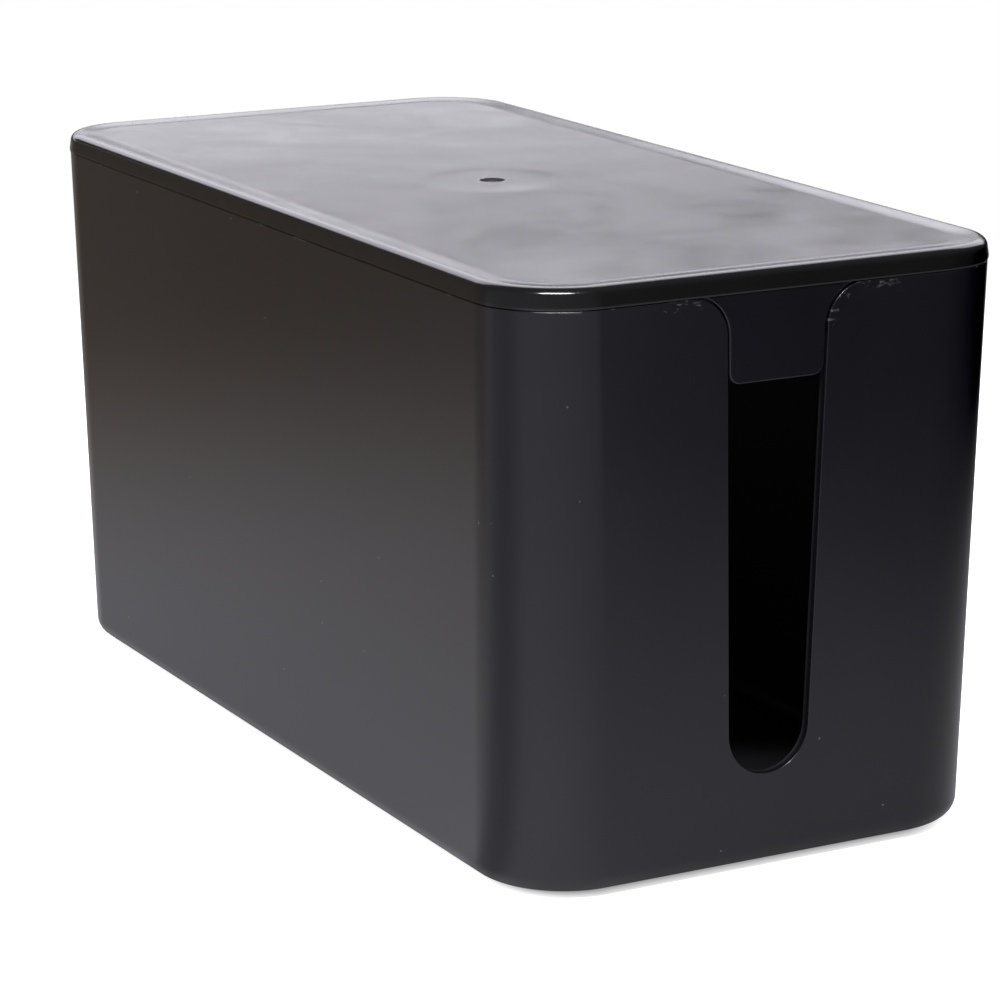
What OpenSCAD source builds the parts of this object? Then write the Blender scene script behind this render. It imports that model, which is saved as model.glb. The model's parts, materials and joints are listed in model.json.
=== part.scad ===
// Cable management box: an open tub on four rubber feet, closed by a lift-off lid.
// A slot in each end lets the cables out, and a tab on the lid plugs the top of each slot.
// Lengths are in millimetres and angles in degrees. X runs along the box and Z is up. The
// origin lies on the surface that the box stands on, under its middle.

/* [Tub] */
// Length of the tub across its open rim
tub_l = 235.6; // [200:0.2:400]
// Width of the tub across its open rim
tub_w = 115; // [100:0.2:160]
// Height of the rim above the tub's underside
tub_h = 117.6; // [90:0.2:150]
// Thickness of the side and end walls
wall_t = 2.2; // [1.6:0.1:3]
// Thickness of the floor
floor_t = 2.4; // [2:0.1:4]
// Lean of the walls from upright
wall_draft = 0.95; // [0.3:0.05:1.5]
// Radius of the upright corners at the rim
rim_corner_r = 18; // [14:0.5:24]
// Radius of the upright corners just above the floor
base_corner_r = 20; // [14:0.5:26]
// Rounding of the edge between the walls and the underside
base_edge_r = 3.8; // [3:0.1:6]
// Bevel on the edges that meet where the lid rests on the rim
rim_bevel = 0.3; // [0.1:0.05:0.5]

/* [Cable slots] */
// Width between the slot's straight sides where they reach the rim
slot_mouth_w = 23.3; // [20:0.1:34]
// Width of the slot at its round end
slot_end_w = 18.5; // [12:0.1:20]
// Height of the slot's lowest point above the tub's underside
slot_end_h = 19.2; // [10:0.2:40]
// Radius of the shoulders that open the slot out towards the rim
shoulder_r = 8.2; // [4:0.1:12]

/* [Lid] */
// Height of the lid above the rim
lid_h = 4.4; // [3.8:0.1:8]
// Thickness of the lid's panel
panel_t = 2.2; // [1.6:0.1:2.6]
// Distance that the lid stands proud of the walls
lid_overhang = 0.2; // [0:0.05:1]
// Lean of the lid's edge, as an inset at the top of its upright face
lid_edge_lean = 0.3; // [0:0.05:0.5]
// Rounding of the lid's top edge
lid_edge_r = 1.8; // [1:0.1:2.2]
// Width of the slope from the lid's raised border down to its panel
border_slope_w = 7; // [4:0.5:8]
// Rise of the lid's border above its panel
border_rise = 0.4; // [0.1:0.05:0.8]
// Depth of the lip that drops inside the rim
lip_h = 3.5; // [2:0.1:8]
// Thickness of the lip
lip_t = 1.4; // [1:0.1:2]
// Clearance between the lip and the walls
lip_gap = 0.35; // [0.2:0.05:0.6]

/* [Tabs] */
// Length of each tab below the rim
tab_h = 17.9; // [14:0.1:30]
// Clearance between a tab and the sides of its slot
tab_gap = 0.35; // [0.2:0.05:0.6]
// Distance that a tab's face lies behind the face of the wall
tab_setback = 0.15; // [0:0.05:0.4]
// Radius of a tab's lower corners
tab_corner_r = 2.5; // [1:0.1:4]
// Reach of the two ribs that brace a tab from inside
rib_reach = 6; // [3:0.5:10]
// Thickness of those ribs
rib_t = 1.4; // [1:0.1:2]
// Distance between the middles of those ribs
rib_spacing = 12; // [6:0.5:14]

/* [Feet] */
// Diameter of a rubber foot
foot_d = 12; // [8:0.5:16]
// Thickness of a rubber foot
foot_t = 2; // [1.4:0.1:3]
// Depth of the seat that a foot is stuck into
foot_seat = 0.8; // [0.4:0.1:1]
// Radial clearance around a foot in its seat
foot_gap = 0.2; // [0.1:0.05:0.4]
// Rounding of a foot's lower edge
foot_edge_r = 0.5; // [0.2:0.1:0.6]
// Distance of each foot's middle from the end and side of the rim
foot_inset = 24; // [20:0.5:30]

/* [Gate marks] */
// Diameter of the mark in the middle of the lid
lid_gate_d = 5.6; // [3:0.1:8]
// Diameter of the mark under the tub
tub_gate_d = 4.4; // [3:0.1:8]
// Depth of both marks
gate_depth = 0.7; // [0.3:0.1:0.9]
// Diameter of the stub left in the middle of each mark
stub_d = 1.8; // [1:0.1:2.4]
// Height of that stub
stub_h = 0.4; // [0.1:0.1:0.6]

/* [Hidden] */

$fn = 64;
corner_steps = 12;  // straight stretches in each upright corner
edge_steps = 6;     // straight stretches in each rounded edge
arc_step = 7.5;     // turn of each straight stretch in the slots' and tabs' outlines
overshoot = 1;      // reach of a cut past the face that it opens
overlap = 0.6;      // reach of one part of a moulding into the next
end_depth = 12;     // depth of the cuts through an end wall, taken from its rim

// Heights above the surface that the box stands on
base_z = foot_t - foot_seat;
floor_z = base_z + floor_t;
wall_z = base_z + base_edge_r;
rim_z = base_z + tub_h;
lid_z = rim_z + lid_h;
panel_z = lid_z - border_rise;
ceiling_z = panel_z - panel_t;
lip_z = rim_z - lip_h;
tab_z = rim_z - tab_h;

// Distances in from the outer face of the wall
lip_inset = wall_t + lip_gap;
lip_back = lip_inset + lip_t;
lip_tip = lip_inset + lip_t / 2;
floor_edge_r = base_edge_r - wall_t / 2;
border_inset = lid_edge_lean + lid_edge_r;

// Slot: its sides lean by slot_lean, and they are tangents to its round end
slot_end_r = slot_end_w / 2;
slot_end_z = base_z + slot_end_h + slot_end_r;
slot_rise = rim_z - slot_end_z;
slot_lean = acos(slot_end_r / norm([slot_rise, slot_mouth_w / 2]))
    - atan2(slot_rise, slot_mouth_w / 2);
shoulder_z = rim_z - shoulder_r;
shoulder_y = slot_side(shoulder_z) + shoulder_r / cos(slot_lean);

// Tab: the middles of its round lower corners
tab_corner_z = tab_z + tab_corner_r;
tab_corner_y = slot_side(tab_corner_z) - (tab_gap + tab_corner_r) / cos(slot_lean);

foot_x = tub_l / 2 - foot_inset;
foot_y = tub_w / 2 - foot_inset;

tub_colour = [0.10, 0.10, 0.11];
lid_colour = [0.12, 0.12, 0.13];
rubber_colour = [0.05, 0.05, 0.05];

// Distance of the slot's straight side from the middle of the end wall, at height z
function slot_side(z) = slot_end_r / cos(slot_lean) + (z - slot_end_z) * tan(slot_lean);

// Points along an arc of radius r about [y, z], from one angle to another
function arc(y, z, r, from, to) =
    let (steps = ceil(abs(to - from) / arc_step))
    [
        for (i = [0:steps])
            let (turn = from + (to - from) * i / steps)
            [y + r * cos(turn), z + r * sin(turn)]
    ];

// Rounded rectangle of length l and width w at height z, with upright corners of radius r
function ring(l, w, r, z) = [
    for (quarter = [0:3])
        for (i = [0:corner_steps])
            let (
                turn = 90 * (quarter + i / corner_steps),
                side_x = quarter == 0 || quarter == 3 ? 1 : -1,
                side_y = quarter < 2 ? 1 : -1
            )
            [
                side_x * (l / 2 - r) + r * cos(turn),
                side_y * (w / 2 - r) + r * sin(turn),
                z
            ]
];

// Outline of the wall's outer face at height z, taken in by inset
function wall_ring(z, inset = 0) =
    let (
        lean = (rim_z - z) * tan(wall_draft) + inset,
        share = (z - wall_z) / (rim_z - wall_z),
        corner_r = base_corner_r + (rim_corner_r - base_corner_r) * share
    )
    ring(tub_l - 2 * lean, tub_w - 2 * lean, corner_r - inset, z);

// Outline of the lid's widest part, moved to height z and taken in by inset
function lid_ring(z, inset = 0) =
    let (out = lid_overhang - inset)
    ring(tub_l + 2 * out, tub_w + 2 * out, rim_corner_r + out, z);

// Rounded edge that joins a level face at height z to a wall that is taken in by inset
function base_edge(z, inset, radius) = [
    for (i = [0:edge_steps])
        let (turn = 90 * i / edge_steps)
        [
            for (p = wall_ring(z + radius, inset + radius * (1 - sin(turn))))
                [p.x, p.y, z + radius * (1 - cos(turn))]
        ]
];

// Solid through a stack of rings with equal numbers of points, from the lowest up
module loft(rings) {
    n = len(rings[0]);
    last = len(rings) - 1;
    side_faces = [
        for (k = [0:last - 1])
            for (i = [0:n - 1])
                let (a = k * n + i, b = k * n + (i + 1) % n)
                each [[a, a + n, b + n], [a, b + n, b]]
    ];
    low_face = [for (i = [0:n - 1]) i];
    top_face = [for (i = [n - 1:-1:0]) last * n + i];
    polyhedron([for (r = rings) each r], concat([low_face], side_faces, [top_face]));
}

// Slot, open upwards, seen along X
module slot_profile() {
    polygon(concat(
        [[-shoulder_y, rim_z + overshoot]],
        arc(-shoulder_y, shoulder_z, shoulder_r, 90, slot_lean),
        arc(0, slot_end_z, slot_end_r, 180 + slot_lean, 360 - slot_lean),
        arc(shoulder_y, shoulder_z, shoulder_r, 180 - slot_lean, 90),
        [[shoulder_y, rim_z + overshoot]]
    ));
}

// Tab that fills the top of the slot and reaches up into the lid, seen along X
module tab_profile() {
    flare_r = shoulder_r + tab_gap;
    flare_end = asin(shoulder_r / flare_r);
    flare_y = shoulder_y - flare_r * cos(flare_end);
    polygon(concat(
        [[-flare_y, rim_z + overlap]],
        arc(-shoulder_y, shoulder_z, flare_r, flare_end, slot_lean),
        arc(-tab_corner_y, tab_corner_z, tab_corner_r, 180 + slot_lean, 270),
        arc(tab_corner_y, tab_corner_z, tab_corner_r, 270, 360 - slot_lean),
        arc(shoulder_y, shoulder_z, flare_r, 180 - slot_lean, 180 - flare_end),
        [[flare_y, rim_z + overlap]]
    ));
}

// Turns a profile drawn in Y and Z into a block through the end wall at +X
module through_end_wall() {
    translate([tub_l / 2 + overshoot - end_depth, 0, 0])
        rotate([90, 0, 90])
            linear_extrude(height = end_depth)
                children();
}

module at_both_ends() {
    for (turn = [0, 180])
        rotate([0, 0, turn])
            children();
}

// Pit below z = 0 with a stub standing in it
module gate_mark(diameter) {
    difference() {
        translate([0, 0, -gate_depth])
            cylinder(h = gate_depth + overshoot, d = diameter);
        translate([0, 0, -gate_depth - overshoot])
            cylinder(h = overshoot + stub_h, d = stub_d);
    }
}

module foot_seats() {
    for (side_x = [-1, 1])
        for (side_y = [-1, 1])
            translate([side_x * foot_x, side_y * foot_y, base_z - overshoot])
                cylinder(h = overshoot + foot_seat, d = foot_d + 2 * foot_gap);
}

module tub_outside() {
    loft(concat(
        base_edge(base_z, 0, base_edge_r),
        [wall_ring(rim_z - rim_bevel), wall_ring(rim_z, rim_bevel)]
    ));
}

module tub_inside() {
    loft(concat(
        base_edge(floor_z, wall_t, floor_edge_r),
        [
            wall_ring(rim_z - rim_bevel, wall_t),
            wall_ring(rim_z, wall_t - rim_bevel),
            wall_ring(rim_z + overshoot, wall_t - rim_bevel)
        ]
    ));
}

module tub() {
    color(tub_colour)
        difference() {
            tub_outside();
            tub_inside();
            at_both_ends()
                through_end_wall()
                    slot_profile();
            foot_seats();
            translate([0, 0, base_z])
                mirror([0, 0, 1])
                    gate_mark(tub_gate_d);
        }
}

// Plate with a rounded top edge and a raised border that slopes down to the panel
module lid_plate() {
    edge_z = lid_z - lid_edge_r;
    rounding = [
        for (i = [0:edge_steps])
            let (turn = 90 * i / edge_steps)
            lid_ring(edge_z + lid_edge_r * sin(turn), border_inset - lid_edge_r * cos(turn))
    ];
    slope = [
        for (i = [1:edge_steps])
            let (share = i / edge_steps)
            lid_ring(
                lid_z - border_rise * (1 - cos(180 * share)) / 2,
                border_inset + border_slope_w * share
            )
    ];
    loft(concat([lid_ring(rim_z, rim_bevel), lid_ring(rim_z + rim_bevel)], rounding, slope));
}

// Block that leaves the lip once the lid is hollowed
module lip_block() {
    loft([
        wall_ring(lip_z, lip_tip),
        wall_ring(lip_z + lip_t, lip_inset),
        wall_ring(rim_z + overlap, lip_inset)
    ]);
}

module lid_hollow() {
    loft([wall_ring(lip_z - overshoot, lip_back), wall_ring(ceiling_z, lip_back)]);
}

// Space that a tab takes up: as thick as the wall, and thicker where it joins the lip
module tab_band() {
    difference() {
        loft([
            wall_ring(tab_z - overshoot, tab_setback),
            wall_ring(rim_z + overlap, tab_setback)
        ]);
        loft([
            wall_ring(tab_z - 2 * overshoot, wall_t),
            wall_ring(lip_z, wall_t),
            wall_ring(lip_z + lip_t / 2, lip_tip),
            wall_ring(rim_z + overshoot, lip_tip)
        ]);
    }
}

// Rib in the corner between the back of a tab and the ceiling of the lid
module tab_rib() {
    back_x = tub_l / 2 - wall_t;
    lean = (rim_z - tab_corner_z) * tan(wall_draft);
    top_z = ceiling_z + overlap;
    translate([0, rib_t / 2, 0])
        rotate([90, 0, 0])
            linear_extrude(height = rib_t)
                polygon([
                    [back_x - lean + overlap, tab_corner_z],
                    [back_x + overlap, rim_z],
                    [back_x + overlap, top_z],
                    [back_x - rib_reach, top_z],
                    [back_x - rib_reach, lip_z],
                    [back_x - lean, tab_corner_z]
                ]);
}

module tab() {
    intersection() {
        through_end_wall()
            tab_profile();
        tab_band();
    }
    for (side = [-1, 1])
        translate([0, side * rib_spacing / 2, 0])
            tab_rib();
}

module lid() {
    color(lid_colour)
        union() {
            difference() {
                union() {
                    lid_plate();
                    lip_block();
                }
                lid_hollow();
                translate([0, 0, panel_z])
                    gate_mark(lid_gate_d);
            }
            at_both_ends()
                tab();
        }
}

// Rubber disc with a rounded lower edge, stuck into a seat under the tub
module foot(side_x, side_y) {
    rounding = [
        for (i = [0:edge_steps])
            let (turn = 90 * i / edge_steps)
            [
                foot_d / 2 - foot_edge_r * (1 - sin(turn)),
                foot_edge_r * (1 - cos(turn))
            ]
    ];
    color(rubber_colour)
        translate([side_x * foot_x, side_y * foot_y, 0])
            rotate_extrude()
                polygon(concat([[0, 0]], rounding, [[foot_d / 2, foot_t], [0, foot_t]]));
}

tub();
lid();
foot(-1, -1);  // foot_front_left
foot(1, -1);  // foot_front_right
foot(-1, 1);  // foot_rear_left
foot(1, 1);  // foot_rear_right
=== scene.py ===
import json
import math

import bmesh
import bpy
from bpy.props import FloatProperty, FloatVectorProperty, PointerProperty
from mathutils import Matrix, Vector

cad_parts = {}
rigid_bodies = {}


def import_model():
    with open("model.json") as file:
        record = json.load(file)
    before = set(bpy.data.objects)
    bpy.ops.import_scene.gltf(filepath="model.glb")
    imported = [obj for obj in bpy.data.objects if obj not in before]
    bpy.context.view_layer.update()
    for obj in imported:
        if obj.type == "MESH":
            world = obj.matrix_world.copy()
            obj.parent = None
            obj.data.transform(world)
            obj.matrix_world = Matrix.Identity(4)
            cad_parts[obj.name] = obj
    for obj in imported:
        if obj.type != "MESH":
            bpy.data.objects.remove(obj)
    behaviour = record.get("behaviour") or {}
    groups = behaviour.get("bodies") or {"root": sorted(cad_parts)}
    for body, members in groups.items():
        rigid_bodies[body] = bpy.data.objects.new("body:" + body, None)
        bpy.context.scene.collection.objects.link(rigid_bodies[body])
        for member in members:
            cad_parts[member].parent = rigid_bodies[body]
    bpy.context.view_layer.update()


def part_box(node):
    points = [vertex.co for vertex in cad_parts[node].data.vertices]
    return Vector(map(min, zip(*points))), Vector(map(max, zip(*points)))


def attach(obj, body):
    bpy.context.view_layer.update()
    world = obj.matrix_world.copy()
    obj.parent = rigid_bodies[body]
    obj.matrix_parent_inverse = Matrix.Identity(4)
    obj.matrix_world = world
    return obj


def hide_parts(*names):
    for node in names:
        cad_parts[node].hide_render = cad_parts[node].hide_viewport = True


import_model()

bl_info = {
    "name": "Cable Management Box",
    "version": (1, 0, 0),
    "blender": (4, 5, 0),
    "location": "3D View > Sidebar > Cable Box",
    "description": "Adds a tub with cable slots, its lift-off lid, its feet and a studio",
    "category": "Add Mesh",
}

TUB_LOW, TUB_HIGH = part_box("tub")
LID_LOW, LID_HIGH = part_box("lid")
FOOT_LOW, FOOT_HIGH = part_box("foot_rear_right")
FOOT_NODES = ("foot_front_left", "foot_front_right", "foot_rear_left", "foot_rear_right")

MM = 0.001
WELD = 1e-6            # points nearer than this become one
LID_WELD = 5e-6        # the same where the lid's caps meet its shell
CAP_REACH = 2e-5       # a cap takes the open edges this near to its height
TAB_ROOT = 0.6 * MM    # how far the tabs and ribs run on into what carries them
BOW_TURN = 30          # degrees that the bow of the lid's edge turns in below upright
BOW_POWER = 6.0        # how fast the bow fades from the ends
SLOPE_POWER = 0.75     # below 1, the border's slope is steepest near the border

CORNER_STEPS = 24      # straight stretches in each upright corner
EDGE_STEPS = 8         # straight stretches in each large rounding
SOFT_STEPS = 4         # straight stretches in each small rounding
CIRCLE_STEPS = 64      # straight stretches round a foot or a gate mark
SHARP_ANGLE = math.radians(38)
FLAT_ANGLE = 0.001     # faces that turn less than this from each other are joined


# ---------------------------------------------------------------- sizes and colours

def size(name, description, default):
    """A length in metres that a user may change."""
    return FloatProperty(
        name=name, description=description, default=default,
        min=0.0, unit="LENGTH", subtype="DISTANCE", precision=4,
    )


def turn(name, description, default):
    """An angle that a user may change. The default is in degrees."""
    return FloatProperty(
        name=name, description=description, default=math.radians(default),
        unit="ROTATION", subtype="ANGLE",
    )


def share(name, description, default, high=1.0):
    """A plain number that a user may change."""
    return FloatProperty(
        name=name, description=description, default=default, min=0.0, max=high,
    )


def colour(name, description, default):
    """A linear colour that a user may change."""
    return FloatVectorProperty(
        name=name, description=description, default=default,
        size=3, min=0.0, max=1.0, subtype="COLOR",
    )


class CableBoxTub(bpy.types.PropertyGroup):
    """Sizes of the tub"""
    length: size("Length", "Length across the open rim", TUB_HIGH.x - TUB_LOW.x)
    width: size("Width", "Width across the open rim", TUB_HIGH.y - TUB_LOW.y)
    base: size("Base height", "Height of the underside above the table", TUB_LOW.z)
    rim: size("Rim height", "Height of the rim above the table", TUB_HIGH.z)
    wall: size("Wall", "Thickness of the side and end walls", 2.2 * MM)
    floor: size("Floor", "Thickness of the floor", 2.4 * MM)
    draft: turn("Draft", "Lean of the walls from upright", 0.95)
    rim_corner: size("Rim corner", "Radius of the upright corners at the rim", 18 * MM)
    base_corner: size("Base corner", "Radius of the upright corners near the floor", 20 * MM)
    base_edge: size("Base edge", "Rounding between the walls and the underside", 3.8 * MM)
    soft_edge: size("Soft edge", "Rounding of the rim. The slots' edges have half as much",
                    0.3 * MM)
    slot_mouth: size("Slot mouth", "Width between the slot's sides at the rim", 23.3 * MM)
    slot_end: size("Slot end", "Width of the slot at its round end", 18.5 * MM)
    slot_low: size("Slot height", "Height of the slot's end above the underside", 19.2 * MM)
    shoulder: size("Shoulder", "Radius of the slot's shoulders at the rim", 8.2 * MM)
    gate: size("Gate mark", "Diameter of the mark under the floor", 4.4 * MM)


class CableBoxLid(bpy.types.PropertyGroup):
    """Sizes of the lid"""
    length: size("Length", "Length across the lid's widest part", LID_HIGH.x - LID_LOW.x)
    width: size("Width", "Width across the lid's widest part", LID_HIGH.y - LID_LOW.y)
    top: size("Top", "Height of the lid's border above the table", LID_HIGH.z)
    panel: size("Panel", "Thickness of the panel", 2.28 * MM)
    edge_lean: size("Edge lean", "Inset at the top of the lid's upright edge", 0.3 * MM)
    edge_round: size("Edge rounding", "Rounding of the lid's top edge", 1.8 * MM)
    crown: size("Crown", "How much wider than high the top edge's rounding is", 0.3 * MM)
    border_slope: size("Border slope", "Width of the slope inside the border", 6 * MM)
    border_rise: size("Border rise", "Rise of the border above the panel", 0.32 * MM)
    seam: size("Seam", "Height of the dark gap between the rim and the lid", 0.16 * MM)
    bow: size("Bow", "Rounding of the lower outer edge, at the ends only", 1.1 * MM)
    lip_height: size("Lip height", "Depth of the lip that drops inside the rim", 3.5 * MM)
    lip: size("Lip", "Thickness of the lip", 1.4 * MM)
    lip_gap: size("Lip gap", "Clearance between the lip and the walls", 0.35 * MM)
    tab_low: size("Tab end", "Height of the tabs' lower edge above the table", LID_LOW.z)
    tab_gap: size("Tab gap", "Clearance between a tab and its slot", 0.35 * MM)
    tab_setback: size("Tab setback", "Depth of a tab's face behind the wall's", 0.15 * MM)
    tab_corner: size("Tab corner", "Radius of a tab's lower corners", 2.5 * MM)
    tab_edge: size("Tab edge", "Rounding of a tab's front edges", 0.4 * MM)
    rib: size("Rib", "Thickness of the ribs behind a tab", 1.4 * MM)
    rib_reach: size("Rib reach", "Reach of the ribs behind a tab", 6 * MM)
    rib_spacing: size("Rib spacing", "Distance between the middles of the ribs", 12 * MM)
    gate: size("Gate mark", "Diameter of the mark in the middle", 5.6 * MM)
    gate_depth: size("Gate depth", "Depth of the gate marks", 0.7 * MM)
    stub: size("Gate stub", "Diameter of the stub in the gate marks", 1.8 * MM)
    stub_height: size("Stub height", "Height of the stub in the gate marks", 0.4 * MM)


class CableBoxFeet(bpy.types.PropertyGroup):
    """Sizes of the feet"""
    diameter: size("Diameter", "Diameter of a foot", FOOT_HIGH.x - FOOT_LOW.x)
    thickness: size("Thickness", "Thickness of a foot", FOOT_HIGH.z - FOOT_LOW.z)
    edge: size("Edge", "Rounding of a foot's lower edge", 0.5 * MM)
    gap: size("Seat gap", "Clearance round a foot in its seat", 0.2 * MM)
    along: size("Along", "Distance of the feet from the middle, along the box",
                (FOOT_LOW.x + FOOT_HIGH.x) / 2)
    across: size("Across", "Distance of the feet from the middle, across the box",
                 (FOOT_LOW.y + FOOT_HIGH.y) / 2)


class CableBoxFinish(bpy.types.PropertyGroup):
    """Colours and gloss of the materials"""
    tub: colour("Tub", "Colour of the tub's plastic", (0.0045, 0.0043, 0.0060))
    tub_rough: share("Tub roughness", "Roughness of the tub's plastic", 0.24)
    # The lid is darker and more neutral than the tub, whose colour its tabs take: painted
    # shade on the lid's rim side
    lid: colour("Lid", "Colour of the lid's plastic", (0.0030, 0.0030, 0.0029))
    lid_rough: share("Lid roughness", "Roughness of the lid's plastic", 0.165)
    rubber: colour("Rubber", "Colour of the rubber feet", (0.0080, 0.0080, 0.0080))
    rubber_rough: share("Rubber roughness", "Roughness of the rubber feet", 0.75)


class CableBoxStudio(bpy.types.PropertyGroup):
    """Camera, floor and lights"""
    camera_place: FloatVectorProperty(
        name="Camera place", description="Where the camera stands",
        default=(0.7275, -0.3880, 0.2621), size=3, unit="LENGTH", subtype="TRANSLATION",
        precision=4,
    )
    camera_tilt: turn("Camera tilt", "Turn of the camera up from straight down", 75.604)
    camera_roll: turn("Camera roll", "Roll of the camera", 0.158)
    camera_heading: turn("Camera heading", "Turn of the camera about the vertical", 61.782)
    lens: FloatProperty(
        name="Lens", description="Focal length of the camera", default=136.88,
        unit="CAMERA",
    )
    floor: size("Floor", "Width of the floor", 12.0)
    softbox: share("Softbox", "Radiance of the large softbox behind the box", 2.45, 50.0)
    strip: share("Strip", "Radiance of the low strip light behind the box", 1.74, 50.0)
    spot: share("Spot", "Radiance of the compact lamp above the camera", 130.0, 500.0)
    room: share("Room", "Level of the light that comes from all round", 0.11, 10.0)
    fall: share("Fall", "How much brighter the room is in front than behind", 0.13, 10.0)
    zenith: share("Zenith", "Level of the light from straight above", 0.18, 10.0)


def toward(azimuth, elevation=0.0):
    """The unit vector at an azimuth from +X and an elevation, in degrees."""
    around, up = math.radians(azimuth), math.radians(elevation)
    return Vector((math.cos(up) * math.cos(around), math.cos(up) * math.sin(around),
                   math.sin(up)))


# ---------------------------------------------------------------- nodes

def arithmetic(operation, reflected=False):
    """A method that adds a Math node for one of Python's operators."""
    def method(value, other):
        pair = (other, value) if reflected else (value, other)
        return value.graph.math(operation, *pair)
    return method


class Value:
    """The output of a node. Python's arithmetic on it adds Math nodes."""

    def __init__(self, graph, socket):
        self.graph = graph
        self.socket = socket

    def of(self, name):
        """Another output of the same node."""
        return Value(self.graph, self.socket.node.outputs[name])

    __add__ = __radd__ = arithmetic("ADD")
    __mul__ = __rmul__ = arithmetic("MULTIPLY")
    __sub__ = arithmetic("SUBTRACT")
    __rsub__ = arithmetic("SUBTRACT", reflected=True)
    __truediv__ = arithmetic("DIVIDE")
    __rtruediv__ = arithmetic("DIVIDE", reflected=True)
    __pow__ = arithmetic("POWER")
    __mod__ = arithmetic("FLOORED_MODULO")
    __lt__ = arithmetic("LESS_THAN")
    __gt__ = arithmetic("GREATER_THAN")


class Graph:
    """Adds nodes and links to a shader or geometry tree."""

    def __init__(self, tree):
        self.tree = tree

    def node(self, kind, settings=None, sockets=None, output=0):
        """Adds a node, makes its settings, then fills its sockets with values or links."""
        node = self.tree.nodes.new(kind)
        for name, value in (settings or {}).items():
            setattr(node, name, value)
        for key, value in (sockets or {}).items():
            for item in value if isinstance(value, list) else [value]:
                if isinstance(item, Value):
                    self.tree.links.new(item.socket, node.inputs[key])
                else:
                    node.inputs[key].default_value = item
        return Value(self, node.outputs[output]) if len(node.outputs) else None

    def math(self, operation, *values):
        """A Math node on values."""
        return self.node("ShaderNodeMath", {"operation": operation}, dict(enumerate(values)))

    def parts(self, vector):
        """The X, Y and Z of a vector."""
        x = self.node("ShaderNodeSeparateXYZ", None, {"Vector": vector})
        return x, x.of("Y"), x.of("Z")

    def combine(self, x, y, z):
        """A vector of three values."""
        return self.node("ShaderNodeCombineXYZ", None, {"X": x, "Y": y, "Z": z})

    def vector(self, operation, *values):
        """Vector Math. Its result is a number for LENGTH and DOT_PRODUCT, or else a vector."""
        output = "Value" if operation in ("LENGTH", "DOT_PRODUCT") else "Vector"
        return self.node(
            "ShaderNodeVectorMath", {"operation": operation}, dict(enumerate(values)), output
        )

    def scaled(self, colour, factor):
        """A colour made brighter or darker by a factor."""
        return self.node("ShaderNodeVectorMath", {"operation": "SCALE"},
                         {0: colour, "Scale": factor})

    def beyond(self, place, core):
        """How far a point lies beyond the sides of a box about the origin, as a vector."""
        past = self.vector("SUBTRACT", self.vector("ABSOLUTE", place), core)
        return self.vector("MAXIMUM", past, (0.0, 0.0, 0.0))

    def facing(self, heading, azimuth):
        """The cosine between a level unit vector and an azimuth."""
        return self.vector("DOT_PRODUCT", heading, tuple(toward(azimuth)))

    def sector(self, heading, azimuth, spread, soft):
        """1 within an angle either side of an azimuth, with soft edges, and 0 elsewhere."""
        outer = math.cos(math.radians(spread + soft))
        inner = math.cos(math.radians(max(spread - soft, 0.0)))
        return self.ramp(self.facing(heading, azimuth), outer, inner, smooth=True)

    def ramp(self, value, low, high, start=0.0, end=1.0, smooth=False):
        """A value carried from the range low to high to start to end, and kept in it."""
        kind = "SMOOTHSTEP" if smooth else "LINEAR"
        return self.node("ShaderNodeMapRange", {"interpolation_type": kind, "clamp": True}, {
            "Value": value, "From Min": low, "From Max": high, "To Min": start, "To Max": end,
        })

    def blend(self, factor, first, second):
        """Two colours mixed by a factor. The sockets are those of a colour mix."""
        sockets = {
            0: factor,
            6: first if isinstance(first, Value) else (*first, 1.0),
            7: second if isinstance(second, Value) else (*second, 1.0),
        }
        return self.node("ShaderNodeMix", {"data_type": "RGBA"}, sockets, output=2)

    def mix_shaders(self, factor, first, second):
        """The first shader where the factor is 0 and the second where it is 1."""
        return self.node("ShaderNodeMixShader", None, {0: factor, 1: first, 2: second})

    def noise(self, place, scale, detail=2.0, rough=0.5, distortion=0.0):
        """A soft random pattern about 0.5, with a scale in cells per metre."""
        return self.node("ShaderNodeTexNoise", None, {
            "Vector": place, "Scale": scale, "Detail": detail, "Roughness": rough,
            "Distortion": distortion,
        })


def shader_of(owner):
    """The graph of an owner's emptied node tree."""
    owner.use_nodes = True
    owner.node_tree.nodes.clear()
    return Graph(owner.node_tree)


# ---------------------------------------------------------------- materials

DUSTY = (0.20, 0.19, 0.20)   # colour of dust and of worn plastic, and of the pale streaks by the slots

# How pale worn and dusty places are, from 0 for bare plastic to 1 for DUSTY
STREAK_PALE = 0.35
BURR_PALE = 0.2
SPECK_PALE = 0.35
PIT_PALE = 0.22
FRAY_PALE = 0.6
RUBBER_SPECK_PALE = 0.3

# What is added to the roughness
CLOUD_ROUGH = 0.06
FLOW_ROUGH = 0.12
STREAK_ROUGH = 0.2
INNER_ROUGH = 0.4
SINK_ROUGH = 0.06
PIT_ROUGH = 0.8
PALE_ROUGH = 0.3

# Heights of the relief that the gloss shows
GRAIN = 0.004 * MM
TUB_RIPPLE = 0.03 * MM
LID_RIPPLE = 0.13 * MM
SPECK = 0.04 * MM
SINK = 0.2 * MM
RUBBER_GRAIN = 0.03 * MM


def object_place(graph):
    """A point's place on the object, in metres."""
    return graph.node("ShaderNodeTexCoord", output="Object")


def dust(graph, place, amount, spacing=4 * MM, radius=0.28 * MM):
    """1 on a speck in a given share of the cells that fill space, and 0 elsewhere."""
    cells = graph.node("ShaderNodeTexVoronoi", None, {"Vector": place, "Scale": 1.0 / spacing})
    luck, _, _ = graph.parts(cells.of("Color"))
    return graph.ramp(cells, radius / spacing, 0.6 * radius / spacing) * (luck < amount)


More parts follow.
